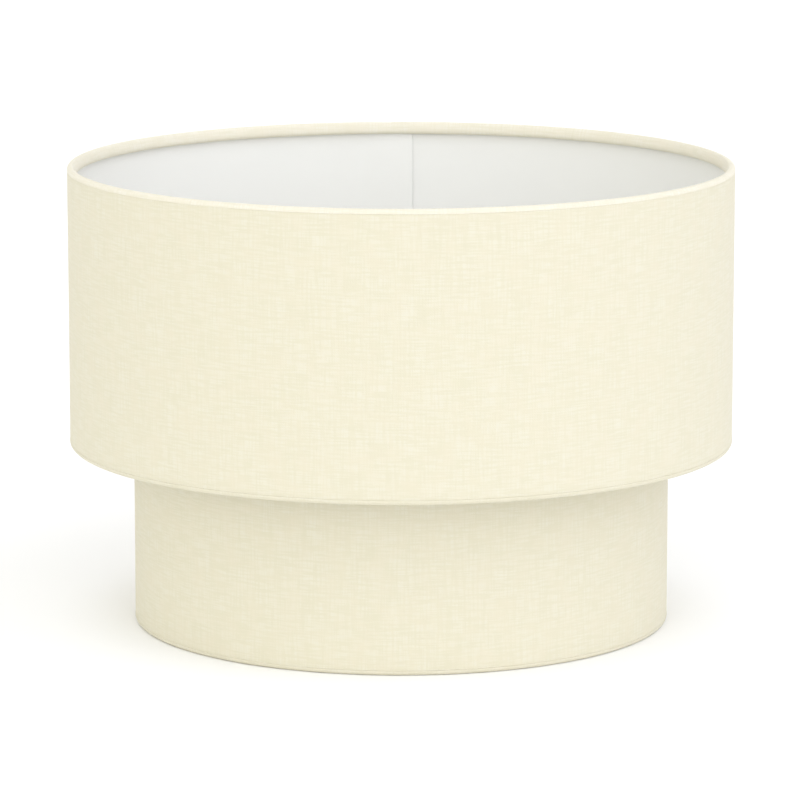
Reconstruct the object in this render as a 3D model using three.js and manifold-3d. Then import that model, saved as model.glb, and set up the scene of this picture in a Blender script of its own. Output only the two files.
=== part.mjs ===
// Two-tier drum lamp shade. A wide cloth drum carries a narrower one that hangs from inside its
// lower edge. Each drum is a sheet of cloth on a stiff white lining, wrapped round and lapped at
// the back, with a wire ring in a rolled cloth edge at its top and its bottom. Three struts join
// the two drums, and a three-armed spider in the lower drum's top ring holds the lampholder ring.
// Millimetres, +Z up, +Y to the back. The origin is the centre of the edge the shade stands on.

import Module from "manifold-3d";
import * as THREE from "three";
import { mergeVertices } from "three/addons/utils/BufferGeometryUtils.js";

// Driving dimensions: the two drums
const upperDiameter = 400; // over its rolled edges
const upperHeight = 169; // over its rolled edges
const tierStep = 38.3; // from the upper drum's side in to the lower drum's side
const tierDrop = 108; // from the upper drum's bottom down to the lower drum's bottom
const tierOverlap = 24; // how far the lower drum reaches up inside the upper drum

// Driving dimensions: cloth, lining and rolled edges
const clothThickness = 0.55;
const liningThickness = 0.5;
const lapWidth = 12; // how far the sheet laps over itself at the back
const edgeProud = 0.25; // how far a rolled edge bulges past the cover
const edgeDepth = 7.5; // height of a rolled edge where it is tucked in behind its ring
const tuckBevel = 1.6; // corner of the tucked cloth

// Driving dimensions: wire frame
const ringWire = 4;
const armWire = 3.5;
const armCount = 3;
const fitterBore = 42; // clears a standard E27 lampholder
const fitterFlange = 9; // width of the flat that the lampholder bears on
const fitterSheet = 1.5;
const fitterLip = 6; // depth of the rim that the arms are welded to
const fitterDrop = 20; // from the lower drum's top ring down to the middle of that rim

const clearance = 0.3; // left between pieces that touch
const facets = 60; // flats round each drum; the arms and the seam stand at corners between flats
const wireSteps = 10; // flats along each arm and strut
const seamAngle = Math.PI / 2;

// Sizes that follow from them
const octagonSide = Math.tan(Math.PI / 8); // half an octagon's side, for a half width of 1
const ringHalf = ringWire / 2;
const edgeBore = ringHalf + clearance;
const edgeHalf = edgeBore + clothThickness;
const panelEnd = edgeBore + clearance; // from a ring's middle to the ends of cover and lining
const coverInset = edgeHalf - edgeProud; // from a ring's middle out to the cover's face
const liningInset = coverInset - clothThickness - clearance;
const lapStep = clothThickness + liningThickness + 2 * clearance;
const facetAngle = (2 * Math.PI) / facets;
const armAngles = Array.from(
  { length: armCount },
  (_, i) => seamAngle + ((2 * i + 1) * Math.PI) / armCount,
);

const upperDrum = { name: "upper", radius: upperDiameter / 2, bottom: tierDrop, height: upperHeight };
const lowerDrum = {
  name: "lower",
  radius: upperDiameter / 2 - tierStep,
  bottom: 0,
  height: tierDrop + tierOverlap,
};

const cloth = new THREE.MeshStandardMaterial({ color: 0xf3eedc, roughness: 0.9, metalness: 0 });
const styrene = new THREE.MeshStandardMaterial({ color: 0xf2f2ef, roughness: 0.55, metalness: 0 });
const coatedSteel = new THREE.MeshStandardMaterial({ color: 0xe9e9e6, roughness: 0.4, metalness: 0 });

const shade = new THREE.Group();
const wasm = await Module();
wasm.setup();

function add(name, geometry, material) {
  const mesh = new THREE.Mesh(geometry, material);
  mesh.name = name;
  shade.add(mesh);
}

// Ring middles of a drum: how far out both are, and how high each is.
const ringRadius = (drum) => drum.radius - edgeHalf;
const topRingHeight = (drum) => drum.bottom + drum.height - edgeHalf;
const bottomRingHeight = (drum) => drum.bottom + edgeHalf;

// Turns a closed outline, given anticlockwise as [outward, up] pairs, about the shade's axis.
function turned(outline) {
  const closed = [...outline, outline[0]].map(([r, z]) => new THREE.Vector2(r, z));
  return new THREE.LatheGeometry(closed, facets).rotateX(Math.PI / 2);
}

// The wire's section, an octagon with flats outward and up.
function wireRing(radius, height) {
  const side = ringHalf * octagonSide;
  const corners = [
    [ringHalf, side],
    [side, ringHalf],
    [-side, ringHalf],
    [-ringHalf, side],
    [-ringHalf, -side],
    [-side, -ringHalf],
    [side, -ringHalf],
    [ringHalf, -side],
  ];
  return turned(corners.map(([out, up]) => [radius + out, height + up]));
}

// A rolled edge: cloth that comes up the outside, over the ring and down behind it, where it is
// turned under towards the lining. towards is 1 for a top edge and -1 for a bottom edge.
function rolledEdge(radius, height, towards) {
  const side = edgeHalf * octagonSide;
  const boreSide = edgeBore * octagonSide;
  const foot = edgeHalf - edgeDepth;
  const insideFoot = foot + clothThickness;
  const insideBevel = tuckBevel + clothThickness * octagonSide;
  const tuckEnd = liningInset - liningThickness - lapStep - clearance;
  const outline = [
    [coverInset, -edgeBore],
    [edgeHalf, -side],
    [edgeHalf, side],
    [side, edgeHalf],
    [-side, edgeHalf],
    [-edgeHalf, side],
    [-edgeHalf, foot + tuckBevel],
    [-edgeHalf + tuckBevel, foot],
    [tuckEnd, foot],
    [tuckEnd, insideFoot],
    [-edgeHalf + insideBevel, insideFoot],
    [-edgeBore, foot + insideBevel],
    [-edgeBore, boreSide],
    [-boreSide, edgeBore],
    [boreSide, edgeBore],
    [edgeBore, boreSide],
    [edgeBore, -boreSide],
    [coverInset - clothThickness, -edgeBore],
  ];
  if (towards < 0) outline.reverse();
  return turned(outline.map(([out, up]) => [radius + out, height + towards * up]));
}

// Distance to the flat-sided drum's face at an angle, for corners that lie at the given radius.
function faceRadius(radius, angle) {
  const pastCorner = ((angle % facetAngle) + facetAngle) % facetAngle;
  return (radius * Math.cos(facetAngle / 2)) / Math.cos(pastCorner - facetAngle / 2);
}

// A sheet wrapped once round and on over its own start, which is stepped in to lie under it.
function wrappedSheet(radius, thickness, bottom, height) {
  const halfLap = lapWidth / 2 / radius;
  const route = [
    [seamAngle - halfLap, radius - lapStep],
    [seamAngle, radius - lapStep],
    [seamAngle + halfLap, radius - lapStep],
  ];
  for (let i = 1; i <= facets; i++) route.push([seamAngle + i * facetAngle, radius]);
  route.push([seamAngle + 2 * Math.PI + halfLap, radius]);
  const point = ([angle, corner], inset) => {
    const r = faceRadius(corner - inset, angle);
    return new THREE.Vector2(r * Math.cos(angle), r * Math.sin(angle));
  };
  const outside = route.map((step) => point(step, 0));
  const inside = route.map((step) => point(step, thickness)).reverse();
  const section = new THREE.Shape([...outside, ...inside]);
  const sheet = new THREE.ExtrudeGeometry(section, { depth: height, bevelEnabled: false });
  return sheet.translate(0, 0, bottom);
}

// A round wire whose middle runs in an upright plane through the axis, level at both ends.
function levelEndedWire(angle, from, to) {
  const middle = (from.r + to.r) / 2;
  const place = (r, z) => new THREE.Vector3(r * Math.cos(angle), r * Math.sin(angle), z);
  const route = new THREE.CubicBezierCurve3(
    place(from.r, from.z),
    place(middle, from.z),
    place(middle, to.z),
    place(to.r, to.z),
  );
  const corners = Array.from({ length: 8 }, (_, i) => {
    const turn = (i * Math.PI) / 4;
    return new THREE.Vector2((armWire / 2) * Math.cos(turn), (armWire / 2) * Math.sin(turn));
  });
  return new THREE.ExtrudeGeometry(new THREE.Shape(corners), {
    steps: wireSteps,
    extrudePath: route,
    bevelEnabled: false,
  });
}

function toSolid(geometry) {
  const bare = geometry.clone();
  bare.deleteAttribute("normal");
  bare.deleteAttribute("uv");
  const merged = mergeVertices(bare, 1e-4);
  return new wasm.Manifold(
    new wasm.Mesh({
      numProp: 3,
      vertProperties: new Float32Array(merged.attributes.position.array),
      triVerts: new Uint32Array(merged.index.array),
    }),
  );
}

function toGeometry(solid) {
  const mesh = solid.getMesh();
  const geometry = new THREE.BufferGeometry();
  geometry.setAttribute("position", new THREE.BufferAttribute(new Float32Array(mesh.vertProperties), 3));
  geometry.setIndex([...mesh.triVerts]);
  geometry.computeVertexNormals();
  return geometry;
}

// Snips a rolled edge at each arm, from its free rim up past the wire. reach says how far the
// snip goes out from the ring's middle, so a short one leaves the cloth's outer face whole.
function snipped(edge, radius, height, towards, reach) {
  const inner = radius - edgeHalf - 1;
  const outer = radius + reach;
  const crown = height + towards * (armWire / 2 + clearance);
  const rim = height - towards * edgeDepth;
  let solid = toSolid(edge);
  for (const angle of armAngles) {
    const size = [outer - inner, armWire + 2 * clearance, Math.abs(crown - rim)];
    const snip = new THREE.BoxGeometry(...size);
    snip.translate((outer + inner) / 2, 0, (crown + rim) / 2).rotateZ(angle);
    solid = solid.subtract(toSolid(snip));
  }
  return toGeometry(solid);
}

// The pressed ring that the lampholder clamps to: a flat flange with a rim turned down.
function fitterRing(height) {
  const bore = fitterBore / 2;
  const rim = bore + fitterFlange;
  const top = height + fitterLip / 2;
  return turned([
    [bore, top - fitterSheet],
    [rim - fitterSheet, top - fitterSheet],
    [rim - fitterSheet, top - fitterLip],
    [rim, top - fitterLip],
    [rim, top],
    [bore, top],
  ]);
}

for (const drum of [upperDrum, lowerDrum]) {
  const ring = ringRadius(drum);
  const top = topRingHeight(drum);
  const bottom = bottomRingHeight(drum);
  const from = bottom + panelEnd;
  const height = top - panelEnd - from;
  add(`${drum.name}_cover`, wrappedSheet(ring + coverInset, clothThickness, from, height), cloth);
  add(`${drum.name}_lining`, wrappedSheet(ring + liningInset, liningThickness, from, height), styrene);
  add(`${drum.name}_top_ring`, wireRing(ring, top), coatedSteel);
  add(`${drum.name}_bottom_ring`, wireRing(ring, bottom), coatedSteel);
}

const upperRing = ringRadius(upperDrum);
const lowerRing = ringRadius(lowerDrum);
const strutFoot = bottomRingHeight(upperDrum);
const strutHead = topRingHeight(lowerDrum);
const strutHeadEdge = rolledEdge(lowerRing, strutHead, 1);
const strutFootEdge = rolledEdge(upperRing, strutFoot, -1);
add("upper_top_edge", rolledEdge(upperRing, topRingHeight(upperDrum), 1), cloth);
add("upper_bottom_edge", snipped(strutFootEdge, upperRing, strutFoot, -1, 0), cloth);
add("lower_top_edge", snipped(strutHeadEdge, lowerRing, strutHead, 1, edgeHalf + 1), cloth);
add("lower_bottom_edge", rolledEdge(lowerRing, bottomRingHeight(lowerDrum), -1), cloth);

const fitterHeight = strutHead - fitterDrop;
const weld = ringHalf + clearance;
const fitterRim = fitterBore / 2 + fitterFlange + clearance;
add("fitter_ring", fitterRing(fitterHeight), coatedSteel);
const armInner = { r: fitterRim, z: fitterHeight };
const armOuter = { r: lowerRing - weld, z: strutHead };
const strutInner = { r: lowerRing + weld, z: strutHead };
const strutOuter = { r: upperRing - weld, z: strutFoot };
armAngles.forEach((angle, i) => {
  add(`spider_arm_${i + 1}`, levelEndedWire(angle, armInner, armOuter), coatedSteel);
  add(`tier_strut_${i + 1}`, levelEndedWire(angle, strutInner, strutOuter), coatedSteel);
});

export default shade;
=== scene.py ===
"""Dresses a two-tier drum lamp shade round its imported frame.

The wide upper drum carries a narrower one that hangs from inside its lower edge. Each drum is a
sheet of ivory linen on a white styrene lining, wrapped round and lapped at the back, with a wire
ring in a rolled cloth edge at its top and its bottom. Struts join the drums, and a spider of
three arms holds the lampholder ring. Everything is in metres, +Z up, with the back towards +Y.
"""

from __future__ import annotations

import logging
import math
from dataclasses import dataclass, field
from enum import Enum
from typing import Any

import bpy
import numpy as np
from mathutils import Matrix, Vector

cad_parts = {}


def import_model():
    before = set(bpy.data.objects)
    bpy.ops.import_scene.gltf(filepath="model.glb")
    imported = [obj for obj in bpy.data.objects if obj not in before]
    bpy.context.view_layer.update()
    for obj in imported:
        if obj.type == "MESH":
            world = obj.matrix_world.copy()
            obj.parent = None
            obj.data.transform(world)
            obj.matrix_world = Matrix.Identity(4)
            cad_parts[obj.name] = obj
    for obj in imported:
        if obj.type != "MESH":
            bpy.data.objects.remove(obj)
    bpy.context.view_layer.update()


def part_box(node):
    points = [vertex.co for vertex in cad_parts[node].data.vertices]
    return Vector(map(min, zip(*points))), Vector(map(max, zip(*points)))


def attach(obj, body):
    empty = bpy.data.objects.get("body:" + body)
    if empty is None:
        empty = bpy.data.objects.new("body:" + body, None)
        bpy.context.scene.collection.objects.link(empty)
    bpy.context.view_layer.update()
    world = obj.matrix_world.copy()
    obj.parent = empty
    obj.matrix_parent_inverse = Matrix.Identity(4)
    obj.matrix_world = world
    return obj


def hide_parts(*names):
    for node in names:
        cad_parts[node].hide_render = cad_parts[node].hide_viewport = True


log = logging.getLogger("lamp_shade")

MM = 0.001
BODY = "root"
SEAM_ANGLE = math.pi / 2
WIRE_SIDES = 20

Array = np.ndarray
Socket = bpy.types.NodeSocket
Node = bpy.types.Node
Tree = bpy.types.NodeTree
GeometryTree = bpy.types.GeometryNodeTree
Material = bpy.types.Material
Mesh = bpy.types.Mesh
Object = bpy.types.Object
Spot = tuple[float, float]
Section = list[Spot]


class Rim(Enum):
    """Which rim of a drum an edge belongs to; its value is the way the edge's crown faces."""

    TOP = 1
    BOTTOM = -1


class Slot(Enum):
    """The record's material slots."""

    CLOTH = "ivory_cloth"
    LINING = "white_lining"
    WIRE = "coated_wire"


# ------------------------------------------------------------------------------ node helpers


def linear(hex_colour: str) -> tuple[float, float, float, float]:
    """Turns an sRGB colour into the linear one that shaders take.

    Args:
        hex_colour: Six hexadecimal digits, red first.

    Returns:
        Linear red, green and blue, and an alpha of 1.
    """
    channels = [int(hex_colour[i : i + 2], 16) / 255 for i in (0, 2, 4)]
    curved = [c / 12.92 if c <= 0.04045 else ((c + 0.055) / 1.055) ** 2.4 for c in channels]
    return (*curved, 1.0)


def add_node(
    tree: Tree,
    kind: str,
    settings: dict[str, Any] | None = None,
    inputs: dict[str | int, Any] | None = None,
) -> Node:
    """Adds a node with its settings, input values and links.

    Args:
        tree: Tree that the node goes in.
        kind: Blender's name for the kind of node.
        settings: Values of the node's own properties.
        inputs: For each input, by name or number, a value, the output socket that feeds it, or
            the node whose first output feeds it.

    Returns:
        The new node.
    """
    node = tree.nodes.new(kind)
    for name, value in (settings or {}).items():
        setattr(node, name, value)
    for key, value in (inputs or {}).items():
        if isinstance(value, Node):
            value = value.outputs[0]
        if isinstance(value, Socket):
            tree.links.new(value, node.inputs[key])
        else:
            node.inputs[key].default_value = value
    return node


def new_material(name: str) -> tuple[Material, Tree]:
    """Makes a material with an empty node tree.

    Args:
        name: The material's name.

    Returns:
        The material and its tree.
    """
    material = bpy.data.materials.new(name)
    material.use_nodes = True
    material.node_tree.nodes.clear()
    return material, material.node_tree


def end_material(
    tree: Tree,
    surface: dict[str, Any],
    height: Socket | None = None,
    depth: float = 0.0,
    strength: float = 1.0,
) -> None:
    """Ends a material's tree with its surface, in relief if it is given a height.

    Args:
        tree: The material's tree.
        surface: Values and links of the surface's inputs.
        height: How high each place stands.
        depth: What a height of 1 stands for, in metres.
        strength: Share of the relief that shows.
    """
    if height is not None:
        relief = {"Strength": strength, "Distance": depth, "Height": height}
        bump = add_node(tree, "ShaderNodeBump", None, relief)
        surface = {**surface, "Normal": bump.outputs["Normal"]}
    shader = add_node(tree, "ShaderNodeBsdfPrincipled", None, surface)
    add_node(tree, "ShaderNodeOutputMaterial", None, {"Surface": shader})


# ---------------------------------------------------------------------------------- finishes


@dataclass(frozen=True)
class WovenLinen:
    """Plain-woven linen and cotton, dyed ivory.

    Yarns of uneven thickness make faint streaks both ways, and their matt fibres take the light
    softly with no shine. Its pattern reads the UV map, which is in metres along the cloth.
    """

    name: str = "woven_linen_ivory"
    ground: str = "DBD6C1"
    thick_yarn: str = "D8D3BC"
    thin_yarn: str = "DDD9C7"
    warm_patch: str = "DCD5BF"
    yarn_pitch: float = 0.7 * MM
    slub_length: float = 16 * MM
    slub_width: float = 1.3 * MM
    patch_size: float = 14 * MM
    relief: float = 0.035 * MM

    def make(self) -> Material:
        """Builds the cloth's material and returns it."""
        material, tree = new_material(self.name)
        place = add_node(tree, "ShaderNodeUVMap", {"uv_map": "cloth"}).outputs["UV"]
        crossings = self._crossings(tree, place)
        weft = self._slubs(tree, place, (1 / self.slub_length, 1 / self.slub_width, 0))
        warp = self._slubs(tree, place, (1 / self.slub_width, 0.7 / self.slub_length, 0))
        patches = add_node(
            tree,
            "ShaderNodeTexNoise",
            {"noise_dimensions": "2D"},
            {"Vector": place, "Scale": 1 / self.patch_size, "Detail": 3.0, "Roughness": 0.55},
        )
        colour = self._colour(tree, weft, warp, patches.outputs[0])
        grain = add_node(tree, "ShaderNodeMath", {"operation": "MULTIPLY"}, {0: crossings, 1: 0.4})
        relief = add_node(
            tree, "ShaderNodeMath", {"operation": "MULTIPLY_ADD"}, {0: weft, 1: 1.1, 2: grain}
        )
        relief = add_node(
            tree, "ShaderNodeMath", {"operation": "MULTIPLY_ADD"}, {0: warp, 1: 0.8, 2: relief}
        )
        surface = {
            "Base Color": colour,
            "Roughness": 0.92,
            "Specular IOR Level": 0.25,
            "Sheen Weight": 0.12,
            "Sheen Roughness": 0.6,
        }
        end_material(tree, surface, relief.outputs[0], self.relief, 0.8)
        return material

    def _crossings(self, tree: Tree, place: Socket) -> Socket:
        """Adds the over and under of the plain weave.

        Args:
            tree: The material's tree.
            place: Where on the cloth a point is, in metres.

        Returns:
            A height that swings between -1 and 1, once for every two yarns each way.
        """
        turns = math.pi / self.yarn_pitch
        scaled = add_node(
            tree, "ShaderNodeVectorMath", {"operation": "MULTIPLY"}, {0: place, 1: (turns, turns, 0)}
        )
        waves = add_node(tree, "ShaderNodeVectorMath", {"operation": "SINE"}, {0: scaled})
        split = add_node(tree, "ShaderNodeSeparateXYZ", None, {0: waves})
        return add_node(
            tree,
            "ShaderNodeMath",
            {"operation": "MULTIPLY"},
            {0: split.outputs["X"], 1: split.outputs["Y"]},
        ).outputs[0]

    def _slubs(self, tree: Tree, place: Socket, frequency: tuple[float, float, float]) -> Socket:
        """Adds the thick places of one set of yarns.

        Yarns are too fine to tell apart at arm's length, so a slub is drawn two yarns wide.

        Args:
            tree: The material's tree.
            place: Where on the cloth a point is, in metres.
            frequency: Slubs to the metre along the cloth's width, its height and nothing.

        Returns:
            A value from 0 on thin yarn to 1 on a slub.
        """
        scaled = add_node(
            tree, "ShaderNodeVectorMath", {"operation": "MULTIPLY"}, {0: place, 1: frequency}
        )
        noise = add_node(
            tree,
            "ShaderNodeTexNoise",
            {"noise_dimensions": "2D"},
            {"Vector": scaled, "Scale": 1.0, "Detail": 2.0, "Roughness": 0.6},
        )
        return add_node(
            tree,
            "ShaderNodeMapRange",
            {"interpolation_type": "SMOOTHSTEP"},
            {"Value": noise, "From Min": 0.34, "From Max": 0.72},
        ).outputs[0]

    def _colour(self, tree: Tree, weft: Socket, warp: Socket, patches: Socket) -> Socket:
        """Adds the cloth's colour: deeper on slubs, paler on thin yarn, warmer in patches.

        Args:
            tree: The material's tree.
            weft: How thick the yarn that runs round the drum is.
            warp: How thick the yarn that runs up the drum is.
            patches: Broad unevenness of the dye.

        Returns:
            The colour socket.
        """
        yarn = add_node(tree, "ShaderNodeMath", {"operation": "MULTIPLY_ADD"}, {0: warp, 1: 0.7, 2: weft})
        ramp = add_node(tree, "ShaderNodeValToRGB", None, {"Fac": yarn})
        ramp.color_ramp.elements[0].color = linear(self.thin_yarn)
        ramp.color_ramp.elements[1].color = linear(self.thick_yarn)
        ramp.color_ramp.elements[1].position = 1.0
        ramp.color_ramp.elements.new(0.5).color = linear(self.ground)
        warmth = add_node(
            tree,
            "ShaderNodeMapRange",
            None,
            {"Value": patches, "From Min": 0.4, "From Max": 0.75, "To Max": 0.6},
        )
        mix = add_node(
            tree,
            "ShaderNodeMix",
            {"data_type": "RGBA"},
            {"Factor": warmth, 6: ramp.outputs["Color"], 7: linear(self.warm_patch)},
        )
        return mix.outputs[2]


def painted_light_rolled_linen() -> WovenLinen:
    """The same linen, paler: painted light that makes the top rolled edges look lit from above."""
    return WovenLinen(
        name="woven_linen_ivory_rolled",
        ground="E4DFCE",
        thick_yarn="E1DCC9",
        thin_yarn="E6E2D4",
        warm_patch="E5DECC",
    )


@dataclass(frozen=True)
class StyreneSheet:
    """Calendered white styrene: smooth and nearly matt, with the faintest roll marks."""

    name: str = "styrene_sheet_white"
    colour: str = "F0F0ED"
    cloud: str = "EEEEEB"
    cloud_size: float = 45 * MM
    grain: float = 0.9 * MM
    relief: float = 0.02 * MM

    def make(self) -> Material:
        """Builds the lining's material and returns it."""
        material, tree = new_material(self.name)
        place = add_node(tree, "ShaderNodeTexCoord").outputs["Object"]
        clouds = add_node(
            tree, "ShaderNodeTexNoise", None, {"Vector": place, "Scale": 1 / self.cloud_size}
        )
        grain = add_node(
            tree, "ShaderNodeTexNoise", None, {"Vector": place, "Scale": 1 / self.grain, "Detail": 1.0}
        )
        colour = add_node(
            tree,
            "ShaderNodeMix",
            {"data_type": "RGBA"},
            {"Factor": clouds, 6: linear(self.colour), 7: linear(self.cloud)},
        )
        surface = {
            "Base Color": colour.outputs[2], "Roughness": 0.58, "IOR": 1.59, "Specular IOR Level": 0.3
        }
        end_material(tree, surface, grain.outputs[0], self.relief, 0.5)
        return material


@dataclass(frozen=True)
class EpoxyCoat:
    """White epoxy powder baked on to steel: a satin skin with a fine orange peel."""

    name: str = "epoxy_coat_white"
    colour: str = "EFEFEC"
    thin_coat: str = "DEDEDB"
    peel: float = 1.2 * MM
    relief: float = 0.03 * MM

    def make(self) -> Material:
        """Builds the coated steel's material and returns it."""
        material, tree = new_material(self.name)
        place = add_node(tree, "ShaderNodeTexCoord").outputs["Object"]
        peel = add_node(
            tree, "ShaderNodeTexNoise", None, {"Vector": place, "Scale": 1 / self.peel, "Detail": 2.0}
        )
        colour = add_node(
            tree,
            "ShaderNodeMix",
            {"data_type": "RGBA"},
            {"Factor": peel, 6: linear(self.colour), 7: linear(self.thin_coat)},
        )
        surface = {"Base Color": colour.outputs[2], "Roughness": 0.36}
        end_material(tree, surface, peel.outputs[0], self.relief, 0.6)
        return material


@dataclass(frozen=True)
class StudioPaint:
    """Matt white emulsion on the studio floor: an even, pale ground."""

    name: str = "studio_emulsion_white"
    colour: str = "FBFBFB"

    def make(self) -> Material:
        """Builds the floor's material and returns it."""
        material, tree = new_material(self.name)
        surface = {"Base Color": linear(self.colour), "Roughness": 0.95, "Specular IOR Level": 0.1}
        end_material(tree, surface)
        return material


@dataclass(frozen=True)
class Finishes:
    """The materials that the shade's pieces share."""

    cloth: Material
    # The linen made paler for the top rolled edges, as painted light from above.
    painted_light_edging: Material
    lining: Material
    wire: Material


# ------------------------------------------------------------------------------- mesh helpers


def new_object(name: str, mesh: Mesh) -> Object:
    """Links a mesh into the scene as an object at the origin and returns it."""
    piece = bpy.data.objects.new(name, mesh)
    bpy.context.scene.collection.objects.link(piece)
    return piece


def smooth(mesh: Mesh) -> None:
    """Shades every face of a mesh smooth."""
    mesh.polygons.foreach_set("use_smooth", [True] * len(mesh.polygons))


def finish_piece(piece: Object, slot: Slot, *nodes: str) -> Object:
    """Fastens a piece to the shade's body in place of its CAD nodes.

    Args:
        piece: The finished piece.
        slot: The record's slot for the piece; not used.
        nodes: The CAD nodes that it stands for.

    Returns:
        The piece.
    """
    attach(piece, BODY)
    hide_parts(*nodes)
    log.info("%s: %d faces", piece.name, len(piece.data.polygons))
    return piece


def modifier_result(piece: Object, name: str) -> Object:
    """Turns an object's evaluated shape into a plain mesh object.

    Args:
        piece: The object with its modifiers, which is removed.
        name: The name of the plain object.

    Returns:
        The plain object, with no modifiers.
    """
    graph = bpy.context.evaluated_depsgraph_get()
    mesh = bpy.data.meshes.new_from_object(piece.evaluated_get(graph))
    mesh.name = name
    bpy.data.objects.remove(piece)
    return new_object(name, mesh)


def run_geometry(name: str, mesh: Mesh, tree: GeometryTree, values: dict[str, Any]) -> Object:
    """Runs a Geometry Nodes tree on a mesh.

    Args:
        name: Name of the finished piece.
        mesh: What the tree starts from.
        tree: The tree.
        values: A value for each of the tree's named inputs.

    Returns:
        The result as a plain mesh object.
    """
    source = new_object(f"{name}_source", mesh)
    modifier = source.modifiers.new("shape", "NODES")
    modifier.node_group = tree
    identifiers = {s.name: s.identifier for s in tree.interface.items_tree}
    for socket, value in values.items():
        modifier[identifiers[socket]] = value
    source.update_tag()
    return modifier_result(source, name)


def polyline(points: list[Vector], closed: bool) -> Mesh:
    """Makes a mesh of edges that join points in order.

    Args:
        points: The points.
        closed: Whether the last joins the first.

    Returns:
        The mesh.
    """
    edges = [(i, i + 1) for i in range(len(points) - 1)]
    if closed:
        edges.append((len(points) - 1, 0))
    mesh = bpy.data.meshes.new("polyline")
    mesh.from_pydata(points, edges, [])
    return mesh


def arc(centre: Spot, radius: float, start: float, end: float, steps: int) -> Section:
    """Gives points along an arc.

    Args:
        centre: The arc's middle.
        radius: Its radius.
        start: Where it starts, in degrees anticlockwise from the first axis.
        end: Where it ends.
        steps: How many stretches it is cut into.

    Returns:
        The points, both ends included.
    """
    turns = [math.radians(start + (end - start) * i / steps) for i in range(steps + 1)]
    return [(centre[0] + radius * math.cos(t), centre[1] + radius * math.sin(t)) for t in turns]


def bezier(spots: tuple[Spot, Spot, Spot, Spot], steps: int) -> Section:
    """Gives points along a cubic curve.

    Args:
        spots: Its start, the two points that draw it out, and its end.
        steps: How many stretches it is cut into.

    Returns:
        The points, both ends included.
    """
    points = []
    for i in range(steps + 1):
        t = i / steps
        weights = ((1 - t) ** 3, 3 * t * (1 - t) ** 2, 3 * t * t * (1 - t), t**3)
        first, second = (sum(w * x for w, x in zip(weights, axis)) for axis in zip(*spots))
        points.append((first, second))
    return points


def on_circle(radius: float, angle: float, height: float = 0.0) -> Vector:
    """The point at a distance from the shade's axis, in a direction, at a height."""
    return Vector((radius * math.cos(angle), radius * math.sin(angle), height))


# --------------------------------------------------------------------- Geometry Nodes trees


def new_geometry_tree(name: str, inputs: dict[str, str]) -> GeometryTree:
    """Makes an empty Geometry Nodes tree with a geometry in and out.

    Args:
        name: The tree's name.
        inputs: The kind of socket for each further input.

    Returns:
        The tree.
    """
    tree = bpy.data.node_groups.new(name, "GeometryNodeTree")
    tree.interface.new_socket("Geometry", in_out="INPUT", socket_type="NodeSocketGeometry")
    for socket, kind in inputs.items():
        tree.interface.new_socket(socket, in_out="INPUT", socket_type=kind)
    tree.interface.new_socket("Geometry", in_out="OUTPUT", socket_type="NodeSocketGeometry")
    return tree


def end_geometry_tree(tree: GeometryTree, shape: Socket, material: Socket) -> None:
    """Ends a tree: instances made real, shaded smooth, and given their material.

    Args:
        tree: The tree.
        shape: The geometry made so far.
        material: The input that holds the material.
    """
    real = add_node(tree, "GeometryNodeRealizeInstances", None, {0: shape})
    even = add_node(tree, "GeometryNodeSetShadeSmooth", None, {0: real})
    dressed = add_node(tree, "GeometryNodeSetMaterial", None, {"Geometry": even, "Material": material})
    add_node(tree, "NodeGroupOutput", None, {0: dressed})


def ring_sweep_tree() -> GeometryTree:
    """Builds the tree that sweeps a section round a ring and lets it wander a little.

    The section is a mesh of edges, outward along its first axis and down along its second. Its
    point attribute slack says how freely each part of it may wander.
    """
    tree = new_geometry_tree(
        "ring_sweep",
        {
            **dict.fromkeys(("Radius", "Height", "Wander", "Wander Length"), "NodeSocketFloat"),
            **dict.fromkeys(("Pucker", "Pucker Length", "Seed"), "NodeSocketFloat"),
            "Stations": "NodeSocketInt",
            "Material": "NodeSocketMaterial",
        },
    )
    given = add_node(tree, "NodeGroupInput").outputs
    section = add_node(tree, "GeometryNodeMeshToCurve", None, {0: given["Geometry"]})
    circle = add_node(
        tree,
        "GeometryNodeCurvePrimitiveCircle",
        {"mode": "RADIUS"},
        {"Resolution": given["Stations"], "Radius": given["Radius"]},
    )
    swept = add_node(tree, "GeometryNodeCurveToMesh", None, {"Curve": circle, "Profile Curve": section})
    lift = add_node(tree, "ShaderNodeCombineXYZ", None, {"Z": given["Height"]})
    raised = add_node(tree, "GeometryNodeTransform", None, {"Geometry": swept, "Translation": lift})
    spot = add_node(tree, "GeometryNodeInputPosition").outputs[0]
    drift = None
    for size, length in (("Wander", "Wander Length"), ("Pucker", "Pucker Length")):
        rate = add_node(tree, "ShaderNodeMath", {"operation": "DIVIDE"}, {0: 1.0, 1: given[length]})
        noise = add_node(
            tree,
            "ShaderNodeTexNoise",
            {"noise_dimensions": "4D"},
            {"Vector": spot, "W": given["Seed"], "Scale": rate, "Detail": 1.0},
        )
        swing = add_node(
            tree, "ShaderNodeMath", {"operation": "MULTIPLY_ADD"}, {0: noise, 1: 2.0, 2: -1.0}
        )
        amount = add_node(tree, "ShaderNodeMath", {"operation": "MULTIPLY"}, {0: swing, 1: given[size]})
        if drift is not None:
            amount = add_node(tree, "ShaderNodeMath", {"operation": "ADD"}, {0: amount, 1: drift})
        drift = amount
    slack = add_node(tree, "GeometryNodeInputNamedAttribute", {"data_type": "FLOAT"}, {"Name": "slack"})
    eased = add_node(tree, "ShaderNodeMath", {"operation": "MULTIPLY"}, {0: drift, 1: slack})
    outward = add_node(tree, "GeometryNodeInputNormal").outputs[0]
    push = add_node(tree, "ShaderNodeVectorMath", {"operation": "SCALE"}, {0: outward, "Scale": eased})
    moved = add_node(tree, "GeometryNodeSetPosition", None, {"Geometry": raised, "Offset": push})
    end_geometry_tree(tree, moved.outputs[0], given["Material"])
    return tree


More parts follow.
